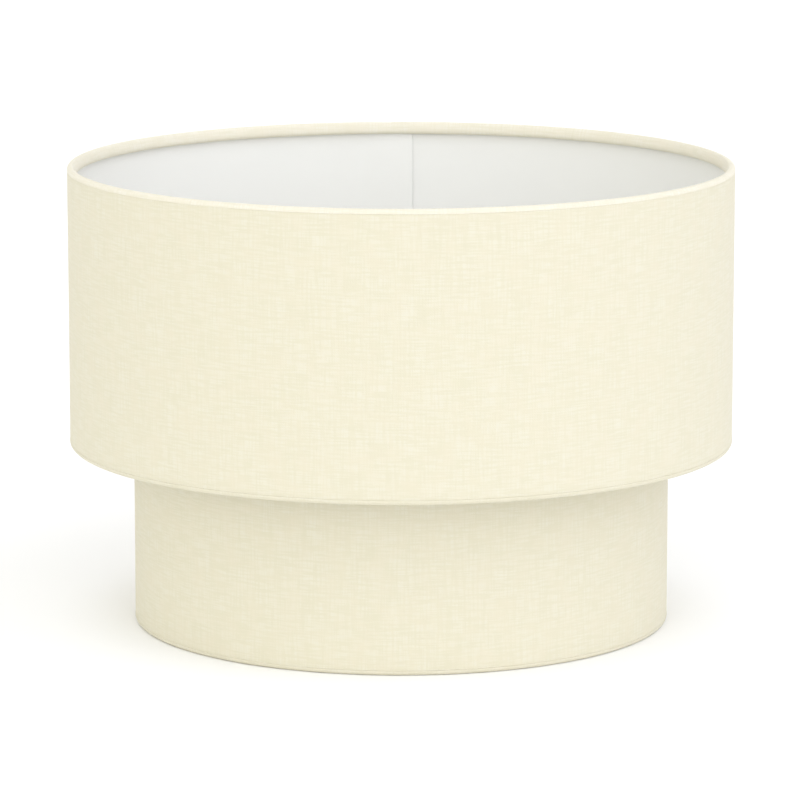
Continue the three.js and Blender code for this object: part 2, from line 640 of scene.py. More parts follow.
def wire_tree() -> GeometryTree:
    """Builds the tree that draws a round wire along a mesh of edges."""
    tree = new_geometry_tree(
        "round_wire",
        {"Thickness": "NodeSocketFloat", "Sides": "NodeSocketInt", "Material": "NodeSocketMaterial"},
    )
    given = add_node(tree, "NodeGroupInput").outputs
    half = add_node(tree, "ShaderNodeMath", {"operation": "MULTIPLY"}, {0: given["Thickness"], 1: 0.5})
    section = add_node(
        tree,
        "GeometryNodeCurvePrimitiveCircle",
        {"mode": "RADIUS"},
        {"Resolution": given["Sides"], "Radius": half},
    )
    route = add_node(tree, "GeometryNodeMeshToCurve", None, {0: given["Geometry"]})
    swept = add_node(
        tree,
        "GeometryNodeCurveToMesh",
        None,
        {"Curve": route, "Profile Curve": section, "Fill Caps": True},
    )
    end_geometry_tree(tree, swept.outputs[0], given["Material"])
    return tree


def weld_tree() -> GeometryTree:
    """Builds the tree that sets a bead of weld, turned to face the axis, on every point."""
    tree = new_geometry_tree(
        "weld_beads",
        {
            "Bead": "NodeSocketFloat",
            "Flatness": "NodeSocketFloat",
            "Unevenness": "NodeSocketFloat",
            "Seed": "NodeSocketInt",
            "Material": "NodeSocketMaterial",
        },
    )
    given = add_node(tree, "NodeGroupInput").outputs
    bead = add_node(tree, "GeometryNodeMeshIcoSphere", None, {"Radius": given["Bead"], "Subdivisions": 4})
    size = add_node(tree, "ShaderNodeCombineXYZ", None, {"X": given["Flatness"], 1: 1.0, 2: 1.0})
    flat = add_node(tree, "GeometryNodeTransform", None, {"Geometry": bead, "Scale": size})
    spot = add_node(tree, "GeometryNodeInputPosition").outputs[0]
    level = add_node(
        tree, "ShaderNodeVectorMath", {"operation": "MULTIPLY"}, {0: spot, 1: (1.0, 1.0, 0.0)}
    )
    turn = add_node(tree, "FunctionNodeAlignRotationToVector", {"axis": "X"}, {"Vector": level})
    least = add_node(tree, "ShaderNodeMath", {"operation": "SUBTRACT"}, {0: 1.0, 1: given["Unevenness"]})
    most = add_node(tree, "ShaderNodeMath", {"operation": "ADD"}, {0: 1.0, 1: given["Unevenness"]})
    scale = add_node(
        tree,
        "FunctionNodeRandomValue",
        {"data_type": "FLOAT"},
        {2: least, 3: most, "Seed": given["Seed"]},
    )
    beads = add_node(
        tree,
        "GeometryNodeInstanceOnPoints",
        None,
        {"Points": given["Geometry"], "Instance": flat, "Rotation": turn, "Scale": scale.outputs[1]},
    )
    end_geometry_tree(tree, beads.outputs[0], given["Material"])
    return tree


@dataclass(frozen=True)
class ShapeTrees:
    """The Geometry Nodes trees that the shade's pieces share."""

    ring_sweep: GeometryTree
    wire: GeometryTree
    welds: GeometryTree


# ------------------------------------------------------------------------------ sheet goods


@dataclass(frozen=True)
class Lap:
    """How a drum's sheet laps over its own start at the back.

    Distances along the drum are measured from the seam's middle, anticlockwise from above.

    Attributes:
        reach: How far to each side of the seam's middle the cloth laps.
        depth: How far the start is stepped in under the lap.
        ramp: The stretch past the lap in which the sheet climbs back out.
    """

    reach: float = 6 * MM
    depth: float = 1.11 * MM
    ramp: float = 20 * MM

    def under(self, past: Array) -> Array:
        """Share of the step by which the sheet lies in, at distances past the seam's middle."""
        t = np.clip((past - self.reach) / self.ramp, 0, 1)
        return 1 - t * t * (3 - 2 * t)

    def exposed(self, past: Array) -> Array:
        """The same share where it can be seen, which is only past the lap."""
        return self.under(past) * np.clip((past - self.reach) / MM, 0, 1)


def round_wire_dip(share: Array, depth: float, reach: float) -> Array:
    """How far a rim moves down a ring's side so that it can step in beside the ring.

    Args:
        share: Share of the step at each place.
        depth: The whole step.
        reach: From the wire's middle out to the face that steps in.

    Returns:
        The distance down at each place.
    """
    return reach * np.sqrt(1 - (1 - share * depth / reach) ** 2)


@dataclass
class WrappedSheet:
    """A sheet wrapped once round a drum and on over its own start, which lies under it.

    Attributes:
        name: The piece's name.
        radius: Out to the sheet's face.
        thickness: The sheet's thickness.
        foot: Height of its lower rim.
        head: Height of its upper rim.
        lap: How it laps.
        before: How far before the seam's middle it starts.
        after: How far past the seam's middle it ends.
        start_thickness: Its thickness at its start, where it may be pared down.
        end_thickness: Its thickness at its end, where it may be folded under.
        fold: How far back the folded end reaches.
        ring_reach: From a ring's middle to the sheet's face, or 0 if it ends short of the rings.
        rounding: Radius of its rims' corners.
        rows: Rows of faces between the rims.
        stations: Steps round the drum.
        sway: How far the sheet strays from a true cylinder.
        notches: Angles at which the upper rim is snipped.
        notch_width: Width of those snips.
        notch_depth: Depth of those snips.
    """

    name: str
    radius: float
    thickness: float
    foot: float
    head: float
    lap: Lap
    before: float
    after: float
    start_thickness: float
    end_thickness: float
    fold: float = 3.8 * MM
    ring_reach: float = 0.0
    rounding: float = 0.1 * MM
    rows: int = 36
    stations: int = 720
    sway: float = 0.1 * MM
    notches: list[float] = field(default_factory=list)
    notch_width: float = 4.6 * MM
    notch_depth: float = 1.95 * MM

    def length(self) -> float:
        """Length of the flat sheet: once round the drum and the lap."""
        return 2 * math.pi * self.radius + self.before + self.after

    def _stretch(self) -> Array:
        """Distances from the seam's middle, with extra ones at the lap and the snips."""
        start, end = -self.before, self.length() - self.before
        even = np.linspace(start, end, self.stations)
        lap = np.linspace(self.lap.reach, self.lap.reach + self.lap.ramp, 40)
        ends = [start + 0.7 * MM, start + 2 * MM, *np.linspace(end - self.fold, end, 8)]
        snips = [
            middle + side * (self.notch_width / 2 + blend)
            for middle in self._notch_middles()
            for side in (-1, 1)
            for blend in (-0.1 * MM, 0.1 * MM)
        ]
        every = np.sort(np.concatenate([even, lap, ends, snips]))
        return every[np.concatenate([[True], np.diff(every) > 0.02 * MM])]

    def _notch_middles(self) -> list[float]:
        """Distance past the seam's middle of each snip."""
        return [(a - SEAM_ANGLE) % (2 * math.pi) * self.radius for a in self.notches]

    def _sway(self, angle: Array, share: float) -> Array:
        """How far the sheet strays outward at each angle, at a share of its height."""
        waves = (
            np.sin(11 * angle + 0.6 + 2.2 * share)
            + 0.6 * np.sin(23 * angle + 1.9 - 3.1 * share)
            + 0.4 * np.sin(41 * angle + 4.0 + 1.7 * share)
        )
        return self.sway * math.sin(math.pi * share) * waves / 2

    def _thick(self, past: Array) -> Array:
        """The sheet's thickness at each distance past the seam's middle."""
        end = self.length() - self.before
        folded = np.clip((past - end + self.fold) / (0.4 * self.fold), 0, 1)
        pared = np.clip(1 - (past + self.before) / (2 * MM), 0, 1)
        return (
            self.thickness
            + (self.end_thickness - self.thickness) * folded
            + (self.start_thickness - self.thickness) * pared
        )

    def _dips(self, past: Array) -> tuple[Array, Array]:
        """How far the upper and lower rims are drawn in at each distance past the seam."""
        ring = round_wire_dip(self.lap.under(past), self.lap.depth, self.ring_reach or math.inf)
        if not self.ring_reach:
            ring = np.zeros_like(past)
        snip = np.zeros_like(past)
        for middle in self._notch_middles():
            snip[np.abs(past - middle) < self.notch_width / 2] = self.notch_depth
        return np.maximum(ring, snip), ring

    def build(self, material: Material) -> Object:
        """Builds the sheet as a closed solid with a UV map in metres.

        Args:
            material: The sheet's material.

        Returns:
            The sheet's object.
        """
        past = self._stretch()
        angle = SEAM_ANGLE + past / self.radius
        stepped = self.radius - self.lap.depth * self.lap.under(past)
        thick = self._thick(past)
        head_dip, foot_dip = self._dips(past)
        head, foot = self.head - head_dip, self.foot + foot_dip
        turns = np.radians(np.arange(15, 180, 15))
        bull = self.end_thickness / 2
        loops = []
        for share, inset in self._levels():
            height = foot + share * (head - foot)
            face = stepped + self._sway(angle, share)
            end_r = face[-1] - bull + (bull - inset) * np.cos(turns)
            end_a = angle[-1] + (bull - inset) * np.sin(turns) / self.radius
            r = np.concatenate([face - inset, end_r, (face - thick + inset)[::-1]])
            a = np.concatenate([angle, end_a, angle[::-1]])
            z = np.concatenate([height, np.full(len(turns), height[-1]), height[::-1]])
            loops.append(np.stack([r * np.cos(a), r * np.sin(a), z], 1))
        along = np.concatenate([past, np.full(len(turns), past[-1]), past[::-1]])
        return self._mesh(loops, along, len(past), len(turns), material)

    def _levels(self) -> list[tuple[float, float]]:
        """Share of the height and inset of each loop, with the rims' corners rounded."""
        tall = self.head - self.foot
        corner = [
            (self.rounding * (1 - math.cos(t)) / tall, self.rounding * (1 - math.sin(t)))
            for t in (0, math.pi / 6, math.pi / 3, math.pi / 2)
        ]
        start = corner[-1][0]
        rows = [(start + (1 - 2 * start) * i / self.rows, 0.0) for i in range(1, self.rows)]
        return corner + rows + [(1 - share, inset) for share, inset in reversed(corner)]

    def _mesh(
        self, loops: list[Array], along: Array, count: int, turns: int, material: Material
    ) -> Object:
        """Joins the loops into a closed mesh.

        Args:
            loops: A closed loop of points for each level.
            along: Each loop point's distance along the sheet.
            count: Points on one face of the sheet in a loop.
            turns: Points round its folded end in a loop.
            material: The sheet's material.

        Returns:
            The mesh's object.
        """
        size = len(along)
        faces = []
        for level in range(len(loops) - 1):
            low, high = level * size, (level + 1) * size
            for i in range(size):
                j = (i + 1) % size
                faces.append((low + i, low + j, high + j, high + i))
        top = (len(loops) - 1) * size
        for i in range(count - 1):
            far, near = size - 1 - i, size - 2 - i
            faces.append((i, far, near, i + 1))
            faces.append((top + i, top + i + 1, top + near, top + far))
        end = list(range(count - 1, count + turns + 1))
        faces.append(tuple(reversed(end)))
        faces.append(tuple(top + i for i in end))
        mesh = bpy.data.meshes.new(self.name)
        mesh.from_pydata(np.concatenate(loops).tolist(), [], faces)
        heights = np.array([v.co.z for v in mesh.vertices])
        corners = np.zeros(len(mesh.loops), np.int32)
        mesh.loops.foreach_get("vertex_index", corners)
        uv = np.stack([np.tile(along, len(loops))[corners], heights[corners]], 1)
        layer = mesh.uv_layers.new(name="cloth")
        layer.data.foreach_set("uv", uv.astype(np.float32).ravel())
        mesh.materials.append(material)
        smooth(mesh)
        return new_object(self.name, mesh)


@dataclass
class RolledEdge:
    """Cloth rolled over a wire ring and tucked in behind it against the lining.

    Attributes:
        name: The piece's name.
        rim: Which rim of the drum it is on.
        ring_radius: Out to the middle of the ring's wire.
        ring_height: Height of the middle of the wire.
        half: Half the roll's width.
        depth: Height of the roll on the inside.
        cover_out: From the wire's middle out to the cover's face.
        foot_out: From the wire's middle out to the lining, where the tuck ends.
        cloth: Thickness of the cloth.
        lap: How the drum's sheet laps.
        lining_start: Distance past the seam's middle at which the lining starts.
        crease: Angle below the wire's middle where the roll meets the cover, in degrees.
        pinch: How far the roll is drawn in where it meets the cover.
        pinch_span: Angle above there in which the pinch fades, in degrees.
        leg_span: Angle in which the leg bends to follow the cover, in degrees.
        crown_end: Angle at which it leaves the wire on the inside, in degrees.
        bulge: How much further in than half its width it reaches at its fullest.
        hang: How far below the wire's middle it is fullest.
        settle: How much closer it sits where there is one layer less over the wire.
        wander: How far it wanders, and over what length.
        pucker: How far it puckers, and over what length.
        stations: Steps round the ring.
        seed: Which of the possible unevennesses the roll has.
        snips: Angles at which arms pass through it.
        snip_width: Width of those snips.
        snip_crown: How far past the wire's middle they go towards the crown.
        snip_reach: How far out from the wire's middle they go.
    """

    name: str
    rim: Rim
    ring_radius: float
    ring_height: float
    half: float
    depth: float
    cover_out: float
    foot_out: float
    cloth: float
    lap: Lap
    lining_start: float
    crease: float = 2.0
    pinch: float = 0.12 * MM
    pinch_span: float = 35.0
    leg_span: float = 50.0
    crown_end: float = 100.0
    bulge: float = 0.3 * MM
    hang: float = 2.6 * MM
    settle: float = 0.28 * MM
    wander: Spot = (0.16 * MM, 30 * MM)
    pucker: Spot = (0.07 * MM, 5 * MM)
    stations: int = 720
    seed: float = 0.0
    snips: list[float] = field(default_factory=list)
    snip_width: float = 4.1 * MM
    snip_crown: float = 2.05 * MM
    snip_reach: float = 0.0

    def section(self) -> tuple[Section, list[float]]:
        """Gives the roll's section and how freely each point of it may wander.

        The cloth runs round the wire, slopes down inside it to its fullest place, and turns
        under to the lining.

        Returns:
            Points outward and crownward from the wire's middle, anticlockwise, and their slack.
        """
        fullest = -(self.half + self.bulge)
        turn = self.depth - self.half - self.hang
        lip = self.cloth / 2
        crown = arc((0, 0), self.half, -self.crease, self.crown_end, 20)
        slope = self._slope(crown[-1], (fullest, -self.hang))
        under = arc((fullest + turn, -self.hang), turn, 180, 270, 10)
        outside = [self._pinched(p) for p in crown] + slope + under
        floor = self.half - self.depth
        foot = arc((self.foot_out - lip, floor + lip), lip, 270, 450, 6)
        inside = self._offset(crown + slope + under, self.cloth)
        points = outside + foot + inside[::-1]
        slack = []
        for out, up in points:
            from_crease = math.hypot(out - self.half, up)
            from_foot = self.foot_out - out
            slack.append(max(0.0, min(1.0, from_crease / self.half, from_foot / self.half)))
        return points, slack

    def _slope(self, start: Spot, end: Spot) -> Section:
        """Gives the points of the inside slope between the crown and the fullest place.

        Args:
            start: The crown's last point.
            end: The fullest place, where the cloth hangs upright.

        Returns:
            The points, without the start and the end themselves.
        """
        way = math.radians(self.crown_end + 90)
        near = (start[0] + self.half / 3 * math.cos(way), start[1] + self.half / 3 * math.sin(way))
        far = (end[0], end[1] + 0.75 * self.half)
        return bezier((start, near, far, end), 14)[1:-1]

    @staticmethod
    def _offset(points: Section, inset: float) -> Section:
        """Moves an outline to its left by the inset, which is inward on this section."""
        line = np.array(points)
        way = np.gradient(line, axis=0)
        way /= np.linalg.norm(way, axis=1)[:, None]
        moved = line + inset * np.stack([-way[:, 1], way[:, 0]], 1)
        return [tuple(point) for point in moved.tolist()]

    def _pinched(self, point: Spot) -> Spot:
        """Draws a point of the outside in towards the wire if it is near the crease."""
        turn = math.degrees(math.atan2(point[1], point[0]))
        near = min(1.0, max(0.0, 1 - turn / self.pinch_span))
        share = 1 - self.pinch / self.half * near * near * (3 - 2 * near)
        return point[0] * share, point[1] * share

    def build(self, trees: ShapeTrees, material: Material) -> Object:
        """Builds the roll.

        Args:
            trees: The shared Geometry Nodes trees.
            material: The cloth's material.

        Returns:
            The roll's object.
        """
        points, slack = self.section()
        up = self.rim.value
        # The sweep wants the section clockwise as seen with outward to the right and up on top.
        order = list(range(len(points)))
        if up > 0:
            order.reverse()
        profile = polyline([Vector((points[i][0], -up * points[i][1], 0)) for i in order], True)
        values = profile.attributes.new("slack", "FLOAT", "POINT")
        values.data.foreach_set("value", [slack[i] for i in order])
        sweep = {
            "Radius": self.ring_radius,
            "Height": self.ring_height,
            "Stations": self.stations,
            "Wander": self.wander[0],
            "Wander Length": self.wander[1],
            "Pucker": self.pucker[0],
            "Pucker Length": self.pucker[1],
            "Seed": self.seed,
            "Material": material,
        }
        piece = run_geometry(self.name, profile, trees.ring_sweep, sweep)
        self._lay_cloth(piece.data, self._girths([points[i] for i in order]))
        self._follow_lap(piece.data)
        if self.snips:
            piece = self._snip(piece)
        return piece

    @staticmethod
    def _girths(points: Section) -> list[float]:
        """Distance round the section at each point, and once more at the first point's return."""
        closed = [*points, points[0]]
        steps = [math.dist(a, b) for a, b in zip(closed, closed[1:])]
        return [0.0, *np.cumsum(steps).tolist()]

    def _lay_cloth(self, mesh: Mesh, girths: list[float]) -> None:
        """Gives the roll a UV map in metres, round the ring and round the section.

        Args:
            mesh: The swept mesh, whose points come section by section.
            girths: Distance round the section at each of its points.
        """
        size = len(girths) - 1
        corners = np.zeros(len(mesh.loops), np.int32)
        mesh.loops.foreach_get("vertex_index", corners)
        station, part = corners // size, corners % size
        starts = np.zeros(len(mesh.polygons), np.int32)
        totals = np.zeros(len(mesh.polygons), np.int32)
        mesh.polygons.foreach_get("loop_start", starts)
        mesh.polygons.foreach_get("loop_total", totals)
        face = np.repeat(np.arange(len(mesh.polygons)), totals)
        for index, full in ((station, self.stations), (part, size)):
            most = np.maximum.reduceat(index, starts)[face]
            least = np.minimum.reduceat(index, starts)[face]
            index[(most - least > 1) & (index == least)] = full
        u = station * (2 * math.pi * self.ring_radius / self.stations)
        v = np.array(girths)[part]
        layer = mesh.uv_layers.new(name="cloth")
        layer.data.foreach_set("uv", np.stack([u, v], 1).astype(np.float32).ravel())

    def _follow_lap(self, mesh: Mesh) -> None:
        """Makes the roll follow the sheet where it steps in at the lap.

        Past the lap there is one layer less over the wire, so the whole roll sits closer, and
        its outer leg reaches further round the wire to the cover. Its tuck is drawn in where
        the lining's start lies under the lap.

        Args:
            mesh: The swept mesh, about the drum's axis.
        """
        co = np.zeros(len(mesh.vertices) * 3, np.float32)
        mesh.vertices.foreach_get("co", co)
        co = co.reshape(-1, 3).astype(float)
        r = np.hypot(co[:, 0], co[:, 1])
        angle = np.arctan2(co[:, 1], co[:, 0])
        past = ((angle - SEAM_ANGLE + math.pi) % (2 * math.pi) - math.pi) * r
        out, up = r - self.ring_radius, (co[:, 2] - self.ring_height) * self.rim.value
        stepped = self.lap.exposed(past)
        turn, girth = np.arctan2(up, out), np.hypot(out, up)
        crown = np.clip((up + self.half) / self.half, 0, 1)
        girth = girth - self.settle * stepped * crown
        leg = np.clip(1 - np.degrees(turn) / self.leg_span, 0, 1) * (turn > -0.2) * (out > 0)
        further = np.arccos(np.clip(1 - stepped * self.lap.depth / self.cover_out, -1, 1))
        turn = turn - further * leg * leg * (3 - 2 * leg)
        out, up = girth * np.cos(turn), girth * np.sin(turn)
        under = self.lap.under(past) * np.clip((past - self.lining_start) / MM + 1, 0, 1)
        tucked = np.clip(out / self.foot_out, 0, 1) * (up < -self.half) * (leg == 0)
        out = out - self.lap.depth * under * tucked
        r_new = self.ring_radius + out
        co[:, :2] *= (r_new / r)[:, None]
        co[:, 2] = self.ring_height + up * self.rim.value
        mesh.vertices.foreach_set("co", co.astype(np.float32).ravel())
        mesh.update()

    def _snip(self, piece: Object) -> Object:
        """Cuts a slot in the roll for each arm, from its free rim up past the wire.

        Args:
            piece: The whole roll.

        Returns:
            The snipped roll.
        """
        inner = self.ring_radius - self.half - MM
        outer = self.ring_radius + self.snip_reach
        low, high = -self.depth, self.snip_crown
        vertices, faces = [], []
        for angle in self.snips:
            along = on_circle(1, angle)
            across = Vector((-along.y, along.x, 0)) * (self.snip_width / 2)
            base = len(vertices)
            for r in (inner, outer):
                for side in (-1, 1):
                    for up in (low, high):
                        z = self.ring_height + self.rim.value * up
                        vertices.append(along * r + side * across + Vector((0, 0, z)))
            box = [(0, 1, 3, 2), (4, 6, 7, 5), (0, 4, 5, 1), (2, 3, 7, 6), (0, 2, 6, 4), (1, 5, 7, 3)]
            turned = box if self.rim is Rim.TOP else [tuple(reversed(f)) for f in box]
            faces += [tuple(base + i for i in f) for f in turned]
        mesh = bpy.data.meshes.new("snips")
        mesh.from_pydata(vertices, [], faces)
        cutter = new_object("snips", mesh)
        cut = piece.modifiers.new("snips", "BOOLEAN")
        cut.operation = "DIFFERENCE"
        cut.solver = "EXACT"
        cut.object = cutter
        result = modifier_result(piece, self.name)
        bpy.data.objects.remove(cutter)
        return result


# ------------------------------------------------------------------------------------- wires


def draw_wire(name: str, route: Mesh, thickness: float, trees: ShapeTrees, material: Material) -> Object:
    """Draws a round wire along a route.

    Args:
        name: The piece's name.
        route: Edges along the wire's middle.
        thickness: The wire's thickness.
        trees: The shared Geometry Nodes trees.
        material: The wire's material.

    Returns:
        The wire's object.
    """
    values = {"Thickness": thickness, "Sides": WIRE_SIDES, "Material": material}
    return run_geometry(name, route, trees.wire, values)


@dataclass
class WireRing:
    """A ring bent from straight wire and butt-welded.

    Attributes:
        name: The piece's name, which is also its CAD node's.
        radius: Out to the middle of the wire.
        height: Height of the middle of the wire.
        thickness: The wire's thickness.
        stations: Steps round the ring.
    """

    name: str
    radius: float
    height: float
    thickness: float
    stations: int = 360

    def build(self, trees: ShapeTrees, material: Material) -> Object:
        """Builds the ring from the shared trees in its material and returns it."""
        turns = [2 * math.pi * i / self.stations for i in range(self.stations)]
        route = [on_circle(self.radius, t, self.height) for t in turns]
        return draw_wire(self.name, polyline(route, True), self.thickness, trees, material)


@dataclass
class LevelEndedWire:
    """A round wire in an upright plane through the axis, level at both its ends.

    Attributes:
        name: The piece's name, which is also its CAD node's.
        angle: Direction of its plane.
        start: Distance out and height of its inner end.
        end: Distance out and height of its outer end.
        thickness: The wire's thickness.
        steps: Stretches along it.
    """

    name: str
    angle: float
    start: Spot
    end: Spot
    thickness: float
    steps: int = 48

    def build(self, trees: ShapeTrees, material: Material) -> Object:
        """Builds the wire from the shared trees in its material and returns it."""
        middle = (self.start[0] + self.end[0]) / 2
        spots = (self.start, (middle, self.start[1]), (middle, self.end[1]), self.end)
        route = [on_circle(r, self.angle, z) for r, z in bezier(spots, self.steps)]
        return draw_wire(self.name, polyline(route, False), self.thickness, trees, material)


# ------------------------------------------------------------------------------ sub-assemblies


@dataclass
class Drum:
    """One tier: cover, lining, and a ring in a rolled edge at each rim.

    Attributes:
        name: upper or lower, which its CAD nodes' names start with.
        arms: Angles at which wires pass through one of its rolled edges.
        snipped: The rim that they pass through.
        snip_reach: How far out from that ring's middle the snips go.
        seed: Which of the possible unevennesses its edges have.
        cloth: Thickness of the cloth.
        lining: Thickness of the styrene.
        glue: Thickness of the glue between them.
        rim_gap: From a ring's middle to the ends of the lining.
        crease_gap: From a ring's middle to the ends of the cover.
    """

    name: str
    arms: list[float]
    snipped: Rim
    snip_reach: float
    seed: float
    cloth: float = 0.55 * MM
    lining: float = 0.5 * MM
    glue: float = 0.03 * MM
    rim_gap: float = 2.3 * MM
    crease_gap: float = 0.13 * MM

    def __post_init__(self) -> None:
        """Reads the drum's sizes from its CAD nodes."""
        low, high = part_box(f"{self.name}_top_ring")
        self.wire = high.z - low.z
        self.ring_radius = high.x - self.wire / 2
        self.top_ring = (low.z + high.z) / 2
        low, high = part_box(f"{self.name}_bottom_ring")
        self.bottom_ring = (low.z + high.z) / 2
        low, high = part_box(f"{self.name}_top_edge")
        self.half = high.x - self.ring_radius
        self.depth = high.z - low.z
        self.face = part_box(f"{self.name}_cover")[1].x
        self.lap = Lap(depth=self.cloth + self.lining + 2 * self.glue)

    def build(self, trees: ShapeTrees, finishes: Finishes) -> None:
        """Builds the drum's pieces.

        Args:
            trees: The shared Geometry Nodes trees.
            finishes: The shared materials.
        """
        lining = self._lining()
        backing = finish_piece(lining.build(finishes.lining), Slot.LINING, f"{self.name}_lining")
        cover = self._cover()
        cloth = finish_piece(cover.build(finishes.cloth), Slot.CLOTH, f"{self.name}_cover")
        for rim in Rim:
            node = f"{self.name}_{rim.name.lower()}_edge"
            # The top rolled edges take the paler linen, painted light as if lit more from above; the
            # bottom ones take the plain linen.
            linen = finishes.painted_light_edging if rim is Rim.TOP else finishes.cloth
            edge = self._edge(rim, lining).build(trees, linen)
            finish_piece(edge, Slot.CLOTH, node)
        for place, height in (("top", self.top_ring), ("bottom", self.bottom_ring)):
            node = f"{self.name}_{place}_ring"
            ring = WireRing(f"{node}_wire", self.ring_radius, height, self.wire)
            finish_piece(ring.build(trees, finishes.wire), Slot.WIRE, node)
        cover.length()

    def _lining(self) -> WrappedSheet:
        """Works out the lining.

        It starts before the cloth does, pared thin, so that it covers the cloth's raw edge.
        """
        return WrappedSheet(
            name=f"{self.name}_lining_sheet",
            radius=self.face - self.cloth - self.glue,
            thickness=self.lining,
            foot=self.bottom_ring + self.rim_gap,
            head=self.top_ring - self.rim_gap,
            lap=self.lap,
            before=self.lap.reach + 1.5 * MM,
            after=2 * MM,
            start_thickness=0.15 * MM,
            end_thickness=self.lining,
            rows=10,
        )

    def _cover(self) -> WrappedSheet:
        """Works out the cover, whose end is folded under round the lining's end."""
        return WrappedSheet(
            name=f"{self.name}_cover_cloth",
            radius=self.face,
            thickness=self.cloth,
            foot=self.bottom_ring + self.crease_gap,
            head=self.top_ring - self.crease_gap,
            lap=self.lap,
            before=self.lap.reach,
            after=self.lap.reach,
            start_thickness=self.cloth,
            end_thickness=self.cloth + self.lining,
            ring_reach=self.face - self.ring_radius,
            notches=self.arms if self.snipped is Rim.TOP else [],
        )

    def _edge(self, rim: Rim, lining: WrappedSheet) -> RolledEdge:
        """Works out one rolled edge.

        Args:
            rim: Which rim it is on.
            lining: The lining that it is tucked against.

        Returns:
            The rolled edge.
        """
        return RolledEdge(
            name=f"{self.name}_{rim.name.lower()}_edge_roll",
            rim=rim,
            ring_radius=self.ring_radius,
            ring_height=self.top_ring if rim is Rim.TOP else self.bottom_ring,
            half=self.half,
            depth=self.depth,
            cover_out=self.face - self.ring_radius,
            foot_out=lining.radius - self.lining - self.glue - self.ring_radius,
            cloth=self.cloth,
            lap=self.lap,
            lining_start=-lining.before,
            seed=self.seed + rim.value,
            snips=self.arms if rim is self.snipped else [],
            snip_reach=self.snip_reach,
        )


@dataclass
class Spider:
    """The lampholder ring, its arms, and the struts that hang the lower drum from the upper.

    Attributes:
        lower: The lower drum.
        upper: The upper drum.
        bead: Radius of a bead of weld.
        flatness: Share of that radius by which a bead stands off its wire.
        unevenness: Share by which the beads differ in size.
        bore: Radius of the pressed ring's hole.
        sheet: Thickness of its sheet.
        corner: Radius of its bent corner, inside.
        ease: Radius of its eased edges.
        stations: Steps round it.
    """

    lower: Drum
    upper: Drum
    bead: float = 2.5 * MM
    flatness: float = 0.45
    unevenness: float = 0.06
    bore: float = 21 * MM
    sheet: float = 1.5 * MM
    corner: float = 1.2 * MM
    ease: float = 0.45 * MM
    stations: int = 192

    def build(self, trees: ShapeTrees, finishes: Finishes) -> None:
        """Builds the spider's pieces.

        Args:
            trees: The shared Geometry Nodes trees.
            finishes: The shared materials.
        """
        fitter_low, fitter_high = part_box("fitter_ring")
        rim = fitter_high.x
        level = (fitter_low.z + fitter_high.z) / 2
        inner_face = self.lower.ring_radius - self.lower.wire / 2
        outer_face = self.lower.ring_radius + self.lower.wire / 2
        upper_face = self.upper.ring_radius - self.upper.wire / 2
        head, foot = self.lower.top_ring, self.upper.bottom_ring
        # The second arm lies along the Y axis, so its box is as wide as the wire is thick.
        low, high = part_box("spider_arm_2")
        wire = high.x - low.x
        inner, outer = (inner_face, head), (outer_face, head)
        ends = {"spider_arm": ((rim, level), inner), "tier_strut": (outer, (upper_face, foot))}
        beads = []
        for i, angle in enumerate(self.lower.arms, start=1):
            for kind, (start, end) in ends.items():
                node = f"{kind}_{i}"
                piece = LevelEndedWire(f"{node}_wire", angle, start, end, wire)
                finish_piece(piece.build(trees, finishes.wire), Slot.WIRE, node)
                beads += [on_circle(r, angle, z) for r, z in (start, end)]
        mesh = bpy.data.meshes.new("beads")
        mesh.from_pydata(beads, [], [])
        values = {
            "Bead": self.bead,
            "Flatness": self.flatness,
            "Unevenness": self.unevenness,
            "Seed": 7,
            "Material": finishes.wire,
        }
        welds = run_geometry("weld_beads", mesh, trees.welds, values)
        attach(welds, BODY)
        log.info("%s: %d faces", welds.name, len(welds.data.polygons))
        self._fitter(fitter_low, fitter_high, trees, finishes)

    def _fitter(self, low: Vector, high: Vector, trees: ShapeTrees, finishes: Finishes) -> None:
        """Builds the pressed ring with its bent rim and eased edges.

        Args:
            low: Lowest corner of its CAD node.
            high: Highest corner of its CAD node.
            trees: The shared Geometry Nodes trees.
            finishes: The shared materials.
        """
        bore, sheet, ease = self.bore, self.sheet, self.ease
        rim, top, bottom = high.x, high.z, low.z
        bend = self.corner + sheet
        section = (
            arc((bore + ease, top - sheet + ease), ease, 180, 270, 4)
            + arc((rim - bend, top - bend), self.corner, 90, 0, 6)
            + arc((rim - sheet + ease, bottom + ease), ease, 180, 270, 4)
            + arc((rim - ease, bottom + ease), ease, 270, 360, 4)
            + arc((rim - bend, top - bend), bend, 0, 90, 8)
            + arc((bore + ease, top - ease), ease, 90, 180, 4)
        )
        profile = polyline([Vector((r, -z, 0)) for r, z in reversed(section)], True)
        profile.attributes.new("slack", "FLOAT", "POINT")
        for vertex in profile.vertices:
            vertex.co.x -= rim
        sweep = {
            "Radius": rim,
            "Height": 0.0,
            "Stations": self.stations,
            "Wander": 0.0,
            "Wander Length": 1.0,
            "Pucker": 0.0,
            "Pucker Length": 1.0,
            "Seed": 0.0,
            "Material": finishes.wire,
        }
        ring = run_geometry("fitter_ring_pressing", profile, trees.ring_sweep, sweep)
        finish_piece(ring, Slot.WIRE, "fitter_ring")


# ---------------------------------------------------------------------------------- studio


